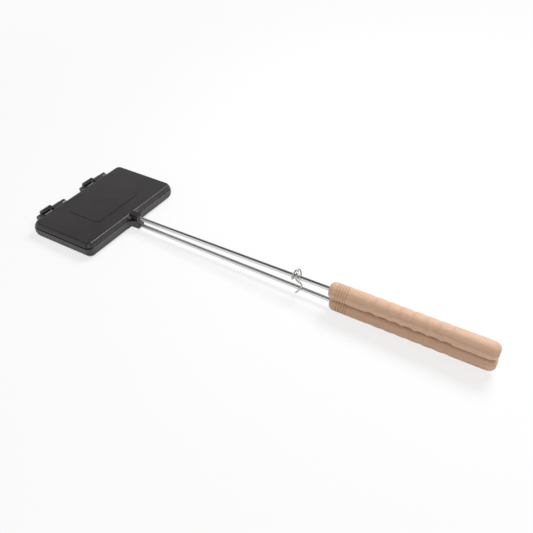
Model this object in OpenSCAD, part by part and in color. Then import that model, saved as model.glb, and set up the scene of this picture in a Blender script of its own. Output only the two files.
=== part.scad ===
// Double pie iron: two cast-iron pans of one pattern, hinged at the far long edge, each on a steel rod
// with a turned wooden handle, held shut by a bent wire latch. One half is the other turned over.
// X runs from the hinges to the handles, Y along the head, Z up. The parting plane is level.

/* [Head] */
// Length of the head's rim, across the rods
rim_len = 201; // [160:0.1:240]
// Width of the head's rim, along the rods
rim_w = 118.5; // [100:0.1:150]
// Corner radius of the rim
rim_corner = 11; // [8:0.5:20]
// Height of one pan's outer face above the parting plane
pan_h = 12.3; // [11.5:0.1:20]
// How far the pan's face is drawn in from the rim
pan_draw = 4.4; // [3:0.1:6]
// Thickness of the pan's floor
floor_t = 4; // [3:0.1:6]
// Width of the flat land between cavity and rim
land_w = 5.5; // [4.5:0.1:10]
// Corner radius of the cavity at the parting plane
cavity_corner = 10; // [7:0.5:16]
// How far the cavity wall leans in towards its floor
cavity_draw = 3; // [2:0.1:6]
// Height of the rim flange
flange_h = 4; // [3:0.1:5]
// Depth of the crease above the flange
crease = 1; // [0.5:0.1:1.5]
// How far the shoulder above the crease stands back from the rim
shoulder_in = 1.2; // [0.8:0.1:2]
// Height of the shoulder above the parting plane
shoulder_z = 7.2; // [6:0.1:9]
// Reach of the rounding round the pan's face
face_round = 1.3; // [0.8:0.1:2]
// Reach of the rounding round the cavity's floor
cavity_round = 3; // [1:0.1:4]
// Gap between each flange and the parting plane
seam = 0.1; // [0.05:0.01:0.3]

/* [Panel] */
// Length of the raised panel
panel_len = 96; // [60:0.5:140]
// Width of the raised panel
panel_w = 64.2; // [40:0.5:90]
// Corner radius of the raised panel
panel_corner = 8; // [4:0.5:16]
// Height of the raised panel
panel_h = 0.5; // [0.3:0.1:1]
// How far the panel's centre stands from the head's centre, towards the hinges
panel_back = 2.1; // [0:0.1:5]

/* [Hinges] */
// Distance between the middles of the two hinges
hinge_pitch = 95.2; // [80:1:120]
// Overall length of one hinge
hinge_len = 56.2; // [44:1:70]
// Length of one hook
hook_len = 18.4; // [12:0.1:22]
// Distance from the rim to the hinge axis
hinge_reach = 10.8; // [10.4:0.1:14]
// Outer radius of a hook
hook_r = 7.8; // [7:0.1:8]
// How far a hook's outside stands off the axis towards its tip
hook_drop = 2.2; // [1.8:0.1:2.4]
// Radius of the stub that a hook holds
stub_r = 3; // [2.5:0.1:3.4]
// Radius of the ear that carries a stub
ear_r = 5.6; // [5:0.1:6]
// Gap between a hook and its stub
hook_gap = 0.5; // [0.3:0.05:0.8]
// Gap between neighbouring knuckles
knuckle_gap = 0.6; // [0.4:0.05:1]
// Angle above the parting plane at which a hook's tip ends
hook_tip = 66; // [62:1:80]

/* [Socket] */
// Half width of the rod socket
socket_half = 7; // [6:0.1:9]
// How far the socket stands out from the rim
socket_reach = 12.3; // [10:0.1:20]
// How far the socket's end lies below the pan's face
socket_drop = 1.7; // [0:0.1:3]
// Edge radius of the socket
socket_edge = 2.5; // [1:0.1:4]
// Radius of the fillets beside the socket, at the flange
flange_fillet = 11; // [6:0.5:14]
// Radius of the fillets beside the socket, at the wall
wall_fillet = 6; // [3:0.5:8]
// Depth of the rod's bore from the socket's mouth
socket_depth = 17; // [14:0.5:18]
// Height of the rod's axis above the parting plane at the socket's mouth
socket_z = 6.4; // [6:0.1:7]
// Diameter of the socket pin
pin_d = 3; // [2:0.1:4]
// Distance from the socket's mouth to the pin
pin_back = 8; // [5:0.5:12]
// Solid metal left above the rod's bore at the pin's blind end
pin_blind = 0.7; // [0.4:0.1:1]

/* [Rods] */
// Diameter of the rods
rod_d = 6.35; // [5:0.05:8]
// Distance from the socket's mouth to the handle's front
rod_free = 330; // [200:0.5:450]
// Depth of the rod in its handle
rod_in_handle = 90; // [50:1:120]
// Clearance round a rod or a pin in its bore
fit_gap = 0.05; // [0.02:0.01:0.1]
// Length of the straight lead between the rod's bend and the handle
bend_lead = 6; // [3:0.5:20]
// How much thicker than the rod the bead at the bend is
bend_bead = 0.1; // [0.06:0.01:0.2]
// Room left between the rod's end and the bottom of the socket's bore
rod_end = 0.5; // [0.2:0.1:1]

/* [Handles] */
// Diameter of the handles
handle_d = 24.3; // [20:0.1:30]
// Length of the handles
handle_len = 228; // [180:1:260]
// Height of a handle's axis above the parting plane
handle_z = 12.3; // [12.2:0.1:18]
// Sideways play of a handle's axis
handle_y = 2.65; // [0:0.05:5]
// Diameter of the handle's front face
front_d = 12; // [9:0.5:18]
// Length of the rounding at the front
front_len = 7.6; // [5:0.1:10]
// Length of the rounded tail
tail_len = 11; // [6:0.5:12]
// Number of ring grooves
ring_n = 5; // [1:1:7]
// Distance from the handle's front to the first ring groove
ring_start = 12.4; // [10:0.1:20]
// Spacing of the ring grooves
ring_pitch = 3.65; // [3:0.05:5]
// Width of a ring groove
ring_w = 1.7; // [1:0.1:2.5]
// Depth of a ring groove
ring_depth = 0.55; // [0.3:0.05:0.8]
// Number of finger waves
wave_n = 7; // [3:1:9]
// Spacing of the finger waves
wave_pitch = 17.3; // [14:0.1:20]
// Depth of a finger wave on the fingers' side
wave_depth = 1.3; // [0.6:0.1:1.6]
// Depth of a finger wave on the palm's side
wave_back = 0.5; // [0.2:0.1:0.6]
// Radius of a finger wave along the handle
wave_r = 24; // [20:0.5:40]
// Turn of the fingers' side round the handle
wave_turn = 225; // [0:5:355]

/* [Latch] */
// Diameter of the latch wire
wire_d = 2.2; // [1.5:0.1:2.6]
// Distance from the socket's mouth to the latch
latch_x = 280.5; // [100:0.5:300]
// Radius of the latch's turns at the wire's middle
turn_r = 6.4; // [6.2:0.1:8]
// How far the turns ride above the rod's axis
turn_lift = 1.7; // [0.5:0.1:1.8]
// How far the last turn stands outside the first where they cross
turn_cross = 2.9; // [2.7:0.1:4]

/* [Hidden] */
$fn = 96;
rim_x = rim_w / 2;
rim_y = rim_len / 2;
mouth_x = rim_x + socket_reach;
front_x = mouth_x + rod_free;
tail_x = front_x + handle_len;
hinge_x = -rim_x - hinge_reach;
floor_z = pan_h - floor_t;
bore_r = rod_d / 2 + fit_gap;
lift = handle_z + handle_d / 2;
mid_x = (tail_x + hinge_x - hook_r) / 2;
iron = [0.24, 0.23, 0.23];
steel = [0.78, 0.78, 0.8];
wood = [0.86, 0.7, 0.55];
leg_points = [[0, -6.4, 1.7], [1, -6, -1], [4.6, -5, -3.9], [7.4, -4.3, -6.6], [7.8, -3.8, -10],
              [5.6, -3.5, -15.4], [2, -3.3, -21.6], [-0.6, -3.1, -25.6], [-3.5, -0.6, -29.4]];

// Points of a curve that rounds the corner c between its two sides
function rounded(a, c, b, n = 4) = [for (i = [0:n]) let (t = i / n)
    a * (1 - t) * (1 - t) + c * 2 * t * (1 - t) + b * t * t];

// Point that lies the distance t from c on the way to a
function towards(c, a, t) = c + (a - c) * t / norm(a - c);

// Outline of the pan's outside from the middle of a corner outwards
wall_foot = [rim_corner - shoulder_in, shoulder_z];
face_edge = [rim_corner - pan_draw, pan_h];
pan_outline = concat(
    [[0, seam], [rim_corner, seam], [rim_corner, flange_h - 0.6], [rim_corner - 0.6, flange_h]],
    [[rim_corner - 0.6 - crease, flange_h + 0.3], [rim_corner - shoulder_in, flange_h + 1.3], wall_foot],
    rounded(towards(face_edge, wall_foot, face_round), face_edge, face_edge - [face_round, 0]),
    [[0, pan_h]]);

// Outline of the cavity, the same way
cavity_rim = [cavity_corner, 0];
cavity_edge = [cavity_corner - cavity_draw, floor_z];
cavity_outline = concat(
    [[0, -1], [cavity_corner, -1], cavity_rim],
    rounded(towards(cavity_edge, cavity_rim, cavity_round), cavity_edge, cavity_edge - [cavity_round, 0]),
    [[0, floor_z]]);

// A round-cornered dish whose side follows an outline; inset is from the rim to the corners' centres
module dish(outline, inset) {
    cx = rim_x - inset;
    cy = rim_y - inset;
    for (x = [-cx, cx], y = [-cy, cy])
        translate([x, y, 0]) rotate_extrude() polygon(outline);
    rotate([90, 0, 0]) linear_extrude(2 * cy, center = true) polygon(both_ways(outline, cx));
    rotate([90, 0, 90]) linear_extrude(2 * cx, center = true) polygon(both_ways(outline, cy));
}

// An outline moved out to both sides and closed across the middle
function both_ways(outline, reach) = concat(
    [for (p = outline) [p[0] + reach, p[1]]],
    [for (i = [len(outline) - 1:-1:0]) [-outline[i][0] - reach, outline[i][1]]]);

// A flat plate with round corners
module plate(length_x, length_y, corner, height) {
    for (x = [-1, 1], y = [-1, 1])
        translate([x * (length_x / 2 - corner), y * (length_y / 2 - corner), 0]) cylinder(height, r = corner);
    translate([-length_x / 2, corner - length_y / 2, 0]) cube([length_x, length_y - 2 * corner, height]);
    translate([corner - length_x / 2, -length_y / 2, 0]) cube([length_x - 2 * corner, length_y, height]);
}

// The socket that takes the rod, with the tongue of the pan's face on top
module socket() {
    root_x = rim_x - pan_draw - 1;
    end_z = pan_h - socket_drop;
    intersection() {
        rotate([90, 0, 0]) linear_extrude(2 * socket_half, center = true) polygon([
            [root_x, seam], [mouth_x, seam], [mouth_x, end_z - 0.8], [mouth_x - 0.8, end_z],
            [rim_x, pan_h - 0.4], [root_x + 1, pan_h], [root_x, pan_h]]);
        union() {
            for (y = [-1, 1]) translate([root_x, y * (socket_half - socket_edge), pan_h - socket_drop - socket_edge])
                rotate([0, 90, 0]) cylinder(mouth_x - root_x, r = socket_edge);
            translate([root_x, -socket_half, 0]) cube([mouth_x - root_x, 2 * socket_half,
                pan_h - socket_drop - socket_edge]);
            translate([root_x, socket_edge - socket_half, 0])
                cube([mouth_x - root_x, 2 * (socket_half - socket_edge), pan_h]);
        }
    }
    for (side = [-1, 1]) {
        fillet(side, rim_x - 3, rim_x, flange_fillet, flange_h);
        intersection() {
            fillet(side, root_x, rim_x - shoulder_in, wall_fillet, pan_h);
            rotate([90, 0, 0]) linear_extrude(2 * (socket_half + wall_fillet), center = true) polygon([
                [root_x, seam], [rim_x + wall_fillet, seam], [rim_x + wall_fillet, flange_h],
                [rim_x - shoulder_in + 1.5, shoulder_z], [rim_x - pan_draw + 1, pan_h - 1], [root_x, pan_h - 1]]);
        }
    }
}

// A concave fillet between the rim and one side of the socket
module fillet(side, from_x, edge_x, radius, top_z) {
    translate([0, side * (socket_half + radius / 2), seam]) difference() {
        translate([from_x, -radius / 2 - 0.5, 0]) cube([edge_x + radius - from_x, radius + 1, top_z - seam]);
        translate([edge_x + radius, side * radius / 2, -1]) cylinder(top_z + 2, r = radius);
        translate([from_x - 1, side > 0 ? radius / 2 : -radius, -1])
            cube([edge_x + radius - from_x + 2, radius / 2, top_z + 2]);
    }
}

// Half of one hinge: an ear with its stub, and beside it the hook for the other half's stub
module half_hinge(mid_y) {
    ear_y = mid_y - 1.5 * knuckle_gap - hook_len;
    ear_len = hinge_len / 2 - 1.5 * knuckle_gap - hook_len;
    root_len = hinge_reach + 4;
    translate([hinge_x, ear_y - ear_len, 0]) {
        rotate([-90, 0, 0]) cylinder(ear_len, r = ear_r);
        translate([0, 0, seam]) cube([root_len, ear_len, ear_r - seam]);
        rotate([-90, 0, 0]) cylinder(ear_len + knuckle_gap + hook_len, r = stub_r);
    }
    hole_r = stub_r + hook_gap;
    translate([hinge_x, mid_y + knuckle_gap / 2, 0]) difference() {
        union() {
            translate([0, 0, -hook_drop]) rotate([-90, 0, 0]) cylinder(hook_len, r = hook_r);
            translate([0, 0, hole_r]) cube([root_len, hook_len, hook_r - hook_drop - hole_r]);
        }
        translate([0, -1, 0]) rotate([-90, 0, 0]) cylinder(hook_len + 2, r = hole_r);
        translate([0, hook_len + 1, 0]) rotate([90, 0, 0]) linear_extrude(hook_len + 2) polygon([
            [0, hole_r], [0, 0], [2 * hook_r * cos(hook_tip), -2 * hook_r * sin(hook_tip)],
            [2 * root_len, -2 * hook_r], [2 * root_len, hole_r]]);
    }
}

// One pan casting
module shell() {
    difference() {
        union() {
            dish(pan_outline, rim_corner);
            translate([-panel_back, 0, floor_z + 1]) plate(panel_w, panel_len, panel_corner, pan_h + panel_h - floor_z - 1);
            socket();
            for (y = [-1, 1]) half_hinge(y * hinge_pitch / 2);
        }
        dish(cavity_outline, land_w + cavity_corner);
        along_rod(-socket_depth) cylinder(socket_depth + 20, r = bore_r);
        socket_pin(fit_gap, -1);
    }
}

// Places a cylinder's axis on the rod's sloping part, a distance past the socket's mouth
module along_rod(start) {
    translate([mouth_x, 0, socket_z]) rotate([0, -rod_rise, rod_yaw]) translate([start, 0, 0])
        rotate([0, 90, 0]) children();
}
bend_x = rod_free - bend_lead;
rod_yaw = atan2(-handle_y, bend_x);
rod_rise = atan2(handle_z - socket_z, norm([bend_x, handle_y]));
bend_at = norm([bend_x, handle_y, handle_z - socket_z]);
bend_step = 0.3;

// One rod, drilled for its pin; the bend is a bead a little thicker than the rod
module rod() {
    difference() {
        union() {
            along_rod(rod_end - socket_depth) cylinder(bend_at + socket_depth - rod_end - bend_step, d = rod_d);
            translate([mouth_x + bend_x, -handle_y, handle_z]) {
                sphere(d = rod_d + bend_bead);
                translate([bend_step, 0, 0]) rotate([0, 90, 0])
                    cylinder(bend_lead + rod_in_handle - bend_step, d = rod_d);
            }
        }
        socket_pin(fit_gap, -1);
    }
}

// The pin through socket and rod, or with a gap the hole for it
module socket_pin(gap = 0, extra = 0) {
    pin_top = socket_z + bore_r + pin_blind;
    translate([mouth_x - pin_back, 0, seam + 0.1 + extra]) cylinder(pin_top - seam - 0.1 - extra + gap, d = pin_d + 2 * gap);
}

// Outline of the handle from its front to its tail, as radius and length
front_r = front_d / 2;
grip_r = handle_d / 2;
tail_r = 4;
handle_outline = concat(
    [[0, 0]],
    [for (t = [0:10:90]) [front_r + (grip_r - front_r) * sin(t), front_len * (1 - cos(t))]],
    [for (i = [0:ring_n - 1], p = [[0, -0.5], [1, -0.15], [1, 0.15], [0, 0.5]])
        [grip_r - p[0] * ring_depth, ring_start + i * ring_pitch + p[1] * ring_w]],
    [for (t = [0:10:90]) [tail_r + (grip_r - tail_r) * cos(t), handle_len - tail_len * (1 - sin(t))]],
    [[0, handle_len]]);

// One handle, bored for its rod
module handle() {
    wave_in = grip_r - (wave_depth + wave_back) / 2;
    translate([front_x, -handle_y, handle_z]) difference() {
        rotate([0, 90, 0]) rotate_extrude() polygon(handle_outline);
        for (i = [0:wave_n - 1])
            rotate([wave_turn, 0, 0]) translate([handle_len / 2 + (i - (wave_n - 1) / 2) * wave_pitch,
                -(wave_depth - wave_back) / 2, 0]) rotate([0, 90, 0])
                    rotate_extrude() translate([wave_in + wave_r, 0]) circle(wave_r);
        translate([-1, 0, 0]) rotate([0, 90, 0]) cylinder(rod_in_handle + 1.5, r = bore_r);
    }
}

// Middle line of the latch's turns round the rod, from the front of the first turn to the tail
turn_steps = 42;
function turn_point(i) = let (t = i / turn_steps, angle = 180 - 630 * t,
    cross = abs(t - 0.755) < 0.16 ? pow(cos(90 * (t - 0.755) / 0.16), 2) : 0, r = turn_r + turn_cross * cross)
    [2.5 * t - 8 * pow(sin(180 * t), 2), r * cos(angle), turn_lift + r * sin(angle)];
// Middle line of the leg, a smooth curve through its points from the tip up
function leg_point(k) = let (n = len(leg_points), i = min(floor(k), n - 2), t = k - i,
    a = leg_points[max(i - 1, 0)], b = leg_points[i], c = leg_points[i + 1], d = leg_points[min(i + 2, n - 1)])
    0.5 * (2 * b + (c - a) * t + (2 * a - 5 * b + 4 * c - d) * t * t + (3 * b - a - 3 * c + d) * t * t * t);
latch_line = concat([for (k = [len(leg_points) - 1:-1 / 3:0.2]) leg_point(k)], [for (i = [0:turn_steps]) turn_point(i)]);

// A wire along a line: six-sided rings joined by triangles, with flat ends
module wire(line, diameter) {
    n = len(line);
    sides = 6;
    function way(i) = let (v = line[min(i + 1, n - 1)] - line[max(i - 1, 0)]) v / norm(v);
    function unit(v) = v / norm(v);
    rings = [for (i = [0:n - 1]) let (u = unit(cross(way(i), [1, 0, 0])), v = cross(way(i), u))
        for (s = [0:sides - 1]) line[i] + diameter / 2 * (cos(360 * s / sides) * u + sin(360 * s / sides) * v)];
    skin = [for (i = [0:n - 2], s = [0:sides - 1]) let (a = i * sides + s, b = i * sides + (s + 1) % sides)
        for (f = [[a, b + sides, b], [a, a + sides, b + sides]]) f];
    caps = [for (s = [1:sides - 2]) for (f = [[0, s, s + 1], [(n - 1) * sides, (n - 1) * sides + s + 1,
        (n - 1) * sides + s]]) f];
    polyhedron(rings, concat(skin, caps));
}
// Least gap between two stretches of the latch wire that aren't neighbours
near = 9;
latch_gap = min([for (i = [0:len(latch_line) - 1 - near], j = [i + near:len(latch_line) - 1])
    norm(latch_line[i] - latch_line[j]) - wire_d]);
echo(least_latch_gap = latch_gap);

// Sets a half the right way up, or turned over for the bottom, on the ground frame
module top_half() { translate([-mid_x, 0, lift]) children(); }
module bottom_half() { translate([-mid_x, 0, lift]) rotate([180, 0, 0]) children(); }

module top_shell() { color(iron) top_half() shell(); }
module bottom_shell() { color(iron) bottom_half() shell(); }
module top_rod() { color(steel) top_half() rod(); }
module bottom_rod() { color(steel) bottom_half() rod(); }
module top_handle() { color(wood) top_half() handle(); }
module bottom_handle() { color(wood) bottom_half() handle(); }
module top_socket_pin() { color(steel) top_half() socket_pin(); }
module bottom_socket_pin() { color(steel) bottom_half() socket_pin(); }
module wire_latch() {
    color(steel) top_half() along_rod(latch_x) rotate([0, -90, 0]) wire(latch_line, wire_d);
}

top_shell();
bottom_shell();
top_rod();
bottom_rod();
top_handle();
bottom_handle();
top_socket_pin();
bottom_socket_pin();
wire_latch();
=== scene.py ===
# %% [markdown]
# # A double pie iron
# Two cast-iron pans of one pattern are hinged along their far long edge. Each pan has a steel rod
# with a turned wooden handle, and a bent wire latch on the upper rod holds the handles together.
# The CAD parts already have the right shapes and sizes. This lesson gives them their finishes, and
# makes one piece again, the wire latch, whose CAD solid has flat sides.

import math

import bpy
from mathutils import Matrix, Vector


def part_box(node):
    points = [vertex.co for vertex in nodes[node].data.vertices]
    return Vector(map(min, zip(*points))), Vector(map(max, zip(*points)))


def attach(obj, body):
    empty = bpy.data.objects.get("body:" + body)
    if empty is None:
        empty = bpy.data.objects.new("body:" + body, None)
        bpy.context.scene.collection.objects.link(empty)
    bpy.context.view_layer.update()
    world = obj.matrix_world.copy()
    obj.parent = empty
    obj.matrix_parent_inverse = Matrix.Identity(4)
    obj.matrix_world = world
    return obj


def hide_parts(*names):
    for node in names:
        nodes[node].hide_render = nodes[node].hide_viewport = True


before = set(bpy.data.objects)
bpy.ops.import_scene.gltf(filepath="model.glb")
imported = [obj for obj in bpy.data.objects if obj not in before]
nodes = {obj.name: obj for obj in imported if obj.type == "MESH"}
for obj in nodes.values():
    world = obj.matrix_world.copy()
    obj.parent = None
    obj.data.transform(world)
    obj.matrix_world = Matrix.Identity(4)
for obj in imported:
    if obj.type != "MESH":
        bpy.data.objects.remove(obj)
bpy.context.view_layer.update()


# %% [markdown]
# The photograph was taken from above and from the handles' near side. Its camera was worked out
# from the straight edges of the pan, rods and handles, so the same camera stands here: it looks
# down by about 40 degrees and stands 31 degrees round from the long side.

# %% Camera
TARGET = Vector((0.02013, 0.00672, 0.02445))
TURN = math.radians(30.87)
DROP = math.radians(39.526)
ROLL = math.radians(0.003)
DISTANCE = 0.92304
FOCAL_PIXELS = 646.21
PHOTO_SIDE = 533

back = Vector((math.sin(TURN) * math.cos(DROP), -math.cos(TURN) * math.cos(DROP), math.sin(DROP)))
level_right = Vector((math.cos(TURN), math.sin(TURN), 0))
level_up = back.cross(level_right)
right = math.cos(ROLL) * level_right + math.sin(ROLL) * level_up
up = back.cross(right)
camera_data = bpy.data.cameras.new("photo_camera")
camera_data.sensor_width = 36
camera_data.lens = camera_data.sensor_width * FOCAL_PIXELS / PHOTO_SIDE
camera_data.clip_start = 0.01
camera = bpy.data.objects.new("photo_camera", camera_data)
facing = Matrix((right, up, back)).transposed().to_4x4()
camera.matrix_world = Matrix.Translation(TARGET + DISTANCE * back) @ facing
bpy.context.scene.collection.objects.link(camera)
bpy.context.scene.camera = camera
print("camera lens", round(camera_data.lens, 2), "mm")

# %% [markdown]
# Finishes are built from nodes. One small helper starts a material, and two more add a node and
# wire it up, so that each finish below reads like a recipe.

# %% Helpers for materials


def new_finish(name):
    """A material with only a Principled shader and its output, with its tree and its shader."""
    material = bpy.data.materials.new(name)
    material.use_nodes = True
    tree = material.node_tree
    shader = tree.nodes["Principled BSDF"]
    return material, tree, shader


def add(tree, kind, inputs=None, **settings):
    """Adds a node, sets its properties, then fills or links its inputs."""
    node = tree.nodes.new(kind)
    for key, value in settings.items():
        setattr(node, key, value)
    for key, value in (inputs or {}).items():
        if isinstance(value, bpy.types.NodeSocket):
            tree.links.new(value, node.inputs[key])
        else:
            node.inputs[key].default_value = value
    return node


def ramp(tree, factor, stops):
    """A colour ramp through (position, colour) stops."""
    node = add(tree, "ShaderNodeValToRGB", {"Fac": factor})
    elements = node.color_ramp.elements
    while len(elements) < len(stops):
        elements.new(0.5)
    for element, (position, colour) in zip(elements, stops):
        element.position = position
        element.color = (*colour, 1)
    return node.outputs["Color"]


def noise(tree, vector, scale, detail=3.0, roughness=0.5):
    """Noise of a scale per metre."""
    node = add(tree, "ShaderNodeTexNoise", {"Vector": vector, "Scale": scale, "Detail": detail,
                                            "Roughness": roughness})
    return node.outputs["Fac"]


def remap(tree, value, low, high, from_low=0.3, from_high=0.7):
    """Spreads a value between two limits."""
    node = add(tree, "ShaderNodeMapRange", {"Value": value, "From Min": from_low, "From Max": from_high,
                                            "To Min": low, "To Max": high})
    return node.outputs["Result"]


def place(tree):
    """Where a point lies on the object at rest, in metres."""
    return add(tree, "ShaderNodeTexCoord").outputs["Object"]


def stretched(tree, vector, scale):
    """The same place with its axes scaled, so that a pattern runs along one of them."""
    return add(tree, "ShaderNodeMapping", {"Vector": vector, "Scale": scale}).outputs["Vector"]


def bump(tree, height, distance, strength=1.0, normal=None):
    """A bump of a height in metres."""
    inputs = {"Height": height, "Distance": distance, "Strength": strength}
    if normal is not None:
        inputs["Normal"] = normal
    return add(tree, "ShaderNodeBump", inputs).outputs["Normal"]


# %% [markdown]
# The pans are sand-cast iron, seasoned with oil: nearly black and satin, with a fine grain from
# the sand and faint cloudy patches where the oil burnt on. The colour comes from slow noise, the
# grain from two fine noises that only bend the light. Round the parting plane, the upright faces of
# the two flanges get a paler band in their colour: painted light for the light that falls on them.

# %% Cast iron
IRON_DARK = (0.0098, 0.0072, 0.0075)
IRON_LIGHT = (0.0185, 0.0140, 0.0146)
# painted light: the paler tone painted on the lit flange faces
IRON_PAINTED_FLANGE_LIGHT = (0.058, 0.053, 0.053)
PARTING_HEIGHT = 0.02445
FLANGE_HEIGHT = 0.004

iron, tree, shader = new_finish("seasoned_iron")
where = place(tree)
patches = noise(tree, where, 38, 4)
grain = noise(tree, where, 1500, 3, 0.6)
pores = noise(tree, where, 420, 2)
height = add(tree, "ShaderNodeSeparateXYZ", {"Vector": where}).outputs["Z"]
above = add(tree, "ShaderNodeMath", {0: height, 1: PARTING_HEIGHT}, operation="SUBTRACT").outputs[0]
apart = add(tree, "ShaderNodeMath", {0: above}, operation="ABSOLUTE").outputs[0]
band = remap(tree, apart, 1.0, 0.0, 0.55 * FLANGE_HEIGHT, FLANGE_HEIGHT)
surface_normal = add(tree, "ShaderNodeNewGeometry").outputs["Normal"]
tilt = add(tree, "ShaderNodeSeparateXYZ", {"Vector": surface_normal}).outputs["Z"]
flat = add(tree, "ShaderNodeMath", {0: tilt}, operation="ABSOLUTE").outputs[0]
upright = remap(tree, flat, 1.0, 0.0, 0.5, 0.8)
# painted light: a paler band on the flanges' upright faces round the parting plane, broken by fine speckle
flange_painted_light = add(tree, "ShaderNodeMath", {0: band, 1: upright}, operation="MULTIPLY").outputs[0]
speckle = remap(tree, pores, 0.45, 1.0)
speckled_flange_light = add(tree, "ShaderNodeMath", {0: flange_painted_light, 1: speckle}, operation="MULTIPLY").outputs[0]
seasoned = ramp(tree, patches, [(0.32, IRON_DARK), (0.7, IRON_LIGHT)])
iron_colour = add(tree, "ShaderNodeMix", {"Factor": speckled_flange_light, "A": seasoned, "B": (*IRON_PAINTED_FLANGE_LIGHT, 1)},
                  data_type="RGBA").outputs[2]
tree.links.new(iron_colour, shader.inputs["Base Color"])
tree.links.new(remap(tree, patches, 0.31, 0.39), shader.inputs["Roughness"])
sand = bump(tree, grain, 0.00008, 0.35)
tree.links.new(bump(tree, pores, 0.00016, 0.35, sand), shader.inputs["Normal"])
shader.inputs["Specular IOR Level"].default_value = 0.6
print("made", iron.name)

# %% [markdown]
# The rods are bright plated steel, drawn along their length, so their faint lines run lengthwise.
# The latch is bent from plain drawn wire, which is greyer and duller.

# %% Bright steel and latch wire


def drawn_steel(name, dark, light, dull, duller):
    """Steel with faint lines along X, between two tones and two roughnesses."""
    finish, tree, shader = new_finish(name)
    lines = noise(tree, stretched(tree, place(tree), (4, 420, 420)), 6, 3)
    tree.links.new(ramp(tree, lines, [(0.3, dark), (0.7, light)]), shader.inputs["Base Color"])
    tree.links.new(remap(tree, lines, dull, duller), shader.inputs["Roughness"])
    shader.inputs["Metallic"].default_value = 1
    print("made", name)
    return finish


steel = drawn_steel("bright_steel", (0.62, 0.62, 0.62), (0.76, 0.76, 0.75), 0.16, 0.25)
latch_steel = drawn_steel("latch_wire", (0.36, 0.35, 0.34), (0.52, 0.51, 0.49), 0.22, 0.34)

# %% [markdown]
# The handles are pale beech with a thin finish. The layers of the trunk lie as nearly flat sheets
# in the wood, so where the finger waves cut through them they show as long nested ovals. A banded
# texture that is tilted a little gives those sheets, and short brown flecks are beech's own mark.

# %% Beech
BEECH_PALE = (0.76, 0.50, 0.345)
BEECH_MID = (0.71, 0.452, 0.30)
BEECH_DEEP = (0.50, 0.285, 0.165)
# painted shade: this colour darkens the grooves and the wood where the two handles meet
BEECH_PAINTED_SHADE = (0.36, 0.20, 0.115)
FIRST_GROOVE = 0.1381
GROOVE_PITCH = 0.00365
GROOVES = 5
GROOVE_HALF = 0.00075

beech, tree, shader = new_finish("pale_beech")
where = place(tree)
trunk = add(tree, "ShaderNodeMapping", {"Vector": where, "Rotation": (0.62, 0.015, 0.0),
                                        "Scale": (0.3, 1, 1)}).outputs["Vector"]
layers = add(tree, "ShaderNodeTexWave", {"Vector": trunk, "Scale": 52, "Distortion": 4.2, "Detail": 2,
                                         "Detail Scale": 0.9},
             wave_type="BANDS", bands_direction="Z", wave_profile="SIN").outputs["Fac"]
cloud = noise(tree, stretched(tree, where, (12, 60, 60)), 1.0, 2)
fibre = noise(tree, stretched(tree, where, (60, 1500, 1500)), 1.0, 3)
flecks = noise(tree, stretched(tree, where, (260, 1900, 1900)), 1.0, 1)


def towards(tree, share, colour, deeper):
    """A colour taken a share of the way towards a deeper one."""
    node = add(tree, "ShaderNodeMix", {"Factor": share, "A": colour, "B": (*deeper, 1)}, data_type="RGBA")
    return node.outputs[2]


layer_colour = ramp(tree, layers, [(0.0, BEECH_MID), (0.7, BEECH_PALE)])
clouded = towards(tree, remap(tree, cloud, 0.0, 0.25), layer_colour, BEECH_MID)
fibred = towards(tree, remap(tree, fibre, 0.0, 0.28), clouded, BEECH_DEEP)
flecked = towards(tree, remap(tree, flecks, 0.0, 0.5, 0.62, 0.74), fibred, BEECH_DEEP)

# %% [markdown]
# The lathe left five narrow grooves near the front. Their colour is darkened there with painted
# shade, for the shade that falls into them. Their places along the handle are known, so a
# saw-tooth of the length gives a dark line at each.

# %% Painted shade in the grooves
lengthwise = add(tree, "ShaderNodeSeparateXYZ", {"Vector": where}).outputs["X"]
first_edge = FIRST_GROOVE - GROOVE_PITCH / 2
from_start = add(tree, "ShaderNodeMath", {0: lengthwise, 1: first_edge}, operation="SUBTRACT").outputs[0]
in_pitch = add(tree, "ShaderNodeMath", {0: from_start, 1: GROOVE_PITCH},
               operation="FLOORED_MODULO").outputs[0]
off_middle = add(tree, "ShaderNodeMath", {0: in_pitch, 1: GROOVE_PITCH / 2}, operation="SUBTRACT").outputs[0]
off_groove = add(tree, "ShaderNodeMath", {0: off_middle}, operation="ABSOLUTE").outputs[0]
line = remap(tree, off_groove, 0.6, 0.0, GROOVE_HALF * 0.2, GROOVE_HALF)
after = add(tree, "ShaderNodeMath", {0: from_start, 1: 0.0}, operation="GREATER_THAN").outputs[0]
before = add(tree, "ShaderNodeMath", {0: from_start, 1: GROOVES * GROOVE_PITCH},
             operation="LESS_THAN").outputs[0]
inside = add(tree, "ShaderNodeMath", {0: after, 1: before}, operation="MULTIPLY").outputs[0]
# painted shade: a dark line in the colour at each of the grooves
groove_shade = add(tree, "ShaderNodeMath", {0: line, 1: inside}, operation="MULTIPLY").outputs[0]
groove_shaded = towards(tree, groove_shade, flecked, BEECH_PAINTED_SHADE)

# %% [markdown]
# Where the two handles lie together, the wood's colour darkens softly towards the parting plane:
# painted shade for the shadow in the narrow gap between them.

# %% Painted shade where the handles meet
CREASE_REACH = 0.0042
CREASE_CORE = 0.0012
level = add(tree, "ShaderNodeSeparateXYZ", {"Vector": where}).outputs["Z"]
from_parting = add(tree, "ShaderNodeMath", {0: level, 1: PARTING_HEIGHT}, operation="SUBTRACT").outputs[0]
off_crease = add(tree, "ShaderNodeMath", {0: from_parting}, operation="ABSOLUTE").outputs[0]
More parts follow.
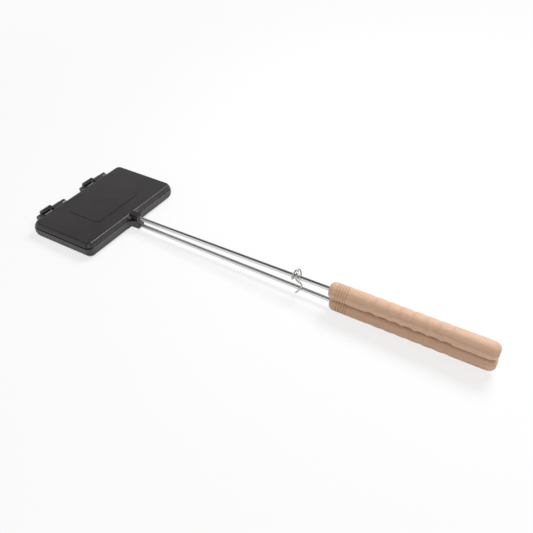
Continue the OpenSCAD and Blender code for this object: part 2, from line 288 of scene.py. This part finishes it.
# painted shade: the wood darkened towards the parting plane, where the two handles meet
crease_shade = remap(tree, off_crease, 0.85, 0.0, CREASE_CORE, CREASE_REACH)
tree.links.new(towards(tree, crease_shade, groove_shaded, BEECH_PAINTED_SHADE), shader.inputs["Base Color"])
tree.links.new(remap(tree, fibre, 0.46, 0.6), shader.inputs["Roughness"])
tree.links.new(bump(tree, fibre, 0.00010, 0.4), shader.inputs["Normal"])
print("made", beech.name)

# %% [markdown]
# A CAD part keeps its mesh. Only the material in its slot changes, and both halves are dressed
# alike, because they are the same pieces turned over.

# %% Put the finishes on the CAD parts


def dress(node_name, finish):
    """Gives a CAD part one finish."""
    slots = nodes[node_name].data.materials
    slots.clear()
    slots.append(finish)


for half in ("top", "bottom"):
    dress(f"{half}_shell", iron)
    dress(f"{half}_rod", steel)
    dress(f"{half}_socket_pin", steel)
    dress(f"{half}_handle", beech)
print("dressed", len(nodes) - 1, "CAD parts")

# %% [markdown]
# The latch is one length of round wire. Its two loose turns ride on the upper rod, its leg comes
# down with an S-bend, and its tip hooks under the lower rod. The CAD solid has only six sides, so
# a smooth curve with a round bevel follows the same route and stands for it.

# %% Latch route
WIRE_THICK = 0.0022
LATCH_ALONG = 280.5
SOCKET_MOUTH = Vector((71.55 - 275.85, 0, 6.4 + 24.45))
ROD_BEND = Vector((324, -2.65, 5.9))
TURN_RADIUS = 6.4
TURN_LIFT = 1.7
TURN_CROSS = 2.9
CROSS_AT = 0.755
CROSS_REACH = 0.16
LEG = [(-3.5, -0.6, -29.4), (-0.6, -3.1, -25.6), (2, -3.3, -21.6), (5.6, -3.5, -15.4), (7.8, -3.8, -10),
       (7.4, -4.3, -6.6), (4.6, -5, -3.9), (1, -6, -1)]

along = ROD_BEND.normalized()
sideways = Vector((0, 0, 1)).cross(along).normalized()
upwards = along.cross(sideways)
latch_middle = SOCKET_MOUTH + LATCH_ALONG * along


def coil_point(share):
    """A point of the wire's turns round the rod, from the leg (0) to the tail (1), in millimetres."""
    angle = math.radians(180 - 630 * share)
    off = abs(share - CROSS_AT) / CROSS_REACH
    radius = TURN_RADIUS + (TURN_CROSS * math.cos(math.pi / 2 * off) ** 2 if off < 1 else 0)
    shift = 2.5 * share - 8 * math.sin(math.pi * share) ** 2
    return (shift, radius * math.cos(angle), TURN_LIFT + radius * math.sin(angle))


COIL_STEPS = 84
route = LEG + [coil_point(step / COIL_STEPS) for step in range(COIL_STEPS + 1)]

# %% Latch wire
wire_curve = bpy.data.curves.new("latch", "CURVE")
wire_curve.dimensions = "3D"
wire_curve.bevel_depth = WIRE_THICK / 2
wire_curve.bevel_resolution = 5
wire_curve.use_fill_caps = True
wire_curve.resolution_u = 4
spline = wire_curve.splines.new("BEZIER")
spline.bezier_points.add(len(route) - 1)
for knot, (x, y, z) in zip(spline.bezier_points, route):
    knot.co = (latch_middle + x * along + y * sideways + z * upwards) / 1000
    knot.handle_left_type = knot.handle_right_type = "AUTO"
wire_curve.materials.append(latch_steel)
latch = bpy.data.objects.new("latch", wire_curve)
bpy.context.scene.collection.objects.link(latch)
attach(latch, "latch")
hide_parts("wire_latch")
print("latch wire has", len(route), "knots")

# %% [markdown]
# The closed iron rests on the lower handle's front and on the far edge of the lower pan, so the
# floor is tilted by about a degree to touch both.

# %% Floor
HANDLE_REST = Vector((0.134, 0, 0))
PAN_REST = Vector((-0.3100, 0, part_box("bottom_shell")[0].z))
FLOOR_HALF = 6.0
FLOOR_GAP = 0.0004
slope = (HANDLE_REST - PAN_REST).normalized()
across = Vector((0, 1, 0))
floor_up = slope.cross(across)
middle = (HANDLE_REST + PAN_REST) / 2 - FLOOR_GAP * floor_up
floor_mesh = bpy.data.meshes.new("floor")
corners = [middle + FLOOR_HALF * (x * slope + y * across) for x, y in ((-1, -1), (1, -1), (1, 1), (-1, 1))]
floor_mesh.from_pydata(corners, [], [(0, 1, 2, 3)])
floor = bpy.data.objects.new("floor", floor_mesh)
bpy.context.scene.collection.objects.link(floor)
print("floor tilts by", round(math.degrees(math.acos(floor_up.z)), 2), "degrees")

# %% [markdown]
# The photograph's background is white paper, so bright that the shadow almost goes. More light
# would bleach the object too. Instead, what the camera and the reflections see of the paper is
# part lit surface and part plain white, and the light that it throws on the object stays as it is.
# Further out the paper is all white, so that it meets the white horizon without an edge.

# %% White paper
WHITE_NEAR = 0.78
WHITE_FAR = 1.0
NEAR_REACH = 0.6
FAR_REACH = 1.7


def seen_directly(tree):
    """1 for rays from the camera, from a reflection or through glass, otherwise 0."""
    path = add(tree, "ShaderNodeLightPath").outputs
    either = add(tree, "ShaderNodeMath", {0: path["Is Camera Ray"], 1: path["Is Glossy Ray"]},
                 operation="MAXIMUM").outputs[0]
    return add(tree, "ShaderNodeMath", {0: either, 1: path["Is Transmission Ray"]},
               operation="MAXIMUM").outputs[0]


paper, tree, shader = new_finish("white_paper")
tone = noise(tree, place(tree), 3, 2)
tree.links.new(ramp(tree, tone, [(0.0, (0.88, 0.88, 0.88)), (1.0, (0.91, 0.91, 0.91))]),
               shader.inputs["Base Color"])
shader.inputs["Roughness"].default_value = 0.9
shader.inputs["Specular IOR Level"].default_value = 0.0
white = add(tree, "ShaderNodeEmission", {"Color": (1, 1, 1, 1), "Strength": 1}).outputs[0]
from_middle = add(tree, "ShaderNodeVectorMath", {0: place(tree)}, operation="LENGTH").outputs["Value"]
whiteness = remap(tree, from_middle, WHITE_NEAR, WHITE_FAR, NEAR_REACH, FAR_REACH)
share = add(tree, "ShaderNodeMath", {0: seen_directly(tree), 1: whiteness}, operation="MULTIPLY").outputs[0]
seen_paper = add(tree, "ShaderNodeMixShader", {0: share, 1: shader.outputs[0], 2: white}).outputs[0]
tree.links.new(seen_paper, tree.nodes["Material Output"].inputs["Surface"])
floor_mesh.materials.append(paper)
print("made", paper.name)

# %% [markdown]
# Studio light: one broad lamp above and behind models the forms, a small one on the near side
# gives the glints on the near corners, and a pale room fills the rest. What shines sees a room
# that is white at the horizon and darker overhead, which gives bright rods their dark upper band.

# %% Light
ROOM_FILL = (0.33, 0.33, 0.335)
OVERHEAD_DARK = (0.07, 0.07, 0.075)
HORIZON_WHITE = (1.0, 1.0, 1.0)

world = bpy.data.worlds.new("studio")
bpy.context.scene.world = world
world.use_nodes = True
tree = world.node_tree
fill = tree.nodes["Background"]
fill.inputs["Color"].default_value = (*ROOM_FILL, 1)
fill.inputs["Strength"].default_value = 1
height = add(tree, "ShaderNodeSeparateXYZ", {"Vector": add(tree, "ShaderNodeTexCoord").outputs["Generated"]})
walls = ramp(tree, height.outputs["Z"], [(0.20, HORIZON_WHITE), (0.78, OVERHEAD_DARK)])
room = add(tree, "ShaderNodeBackground", {"Color": walls, "Strength": 1}).outputs[0]
both = add(tree, "ShaderNodeMixShader", {0: seen_directly(tree), 1: fill.outputs[0], 2: room}).outputs[0]
tree.links.new(both, tree.nodes["World Output"].inputs["Surface"])


def softbox(name, place_at, look_at, width, height, watts):
    """A flat lamp that faces a point."""
    lamp_data = bpy.data.lights.new(name, "AREA")
    lamp_data.shape = "RECTANGLE"
    lamp_data.size, lamp_data.size_y = width, height
    lamp_data.energy = watts
    lamp = bpy.data.objects.new(name, lamp_data)
    lamp.location = place_at
    lamp.rotation_euler = (Vector(look_at) - Vector(place_at)).to_track_quat("-Z", "Y").to_euler()
    bpy.context.scene.collection.objects.link(lamp)
    return lamp


softbox("overhead", (0.35, 0.75, 1.35), (-0.05, 0, 0), 0.7, 0.7, 22)
softbox("near_side", (0.45, -1.1, 0.75), (-0.1, 0, 0), 0.3, 0.3, 1.8)

# %% [markdown]
# A plain view transform keeps every colour as it is written.

# %% View settings
bpy.context.scene.view_settings.view_transform = "Standard"
print("view transform", bpy.context.scene.view_settings.view_transform)
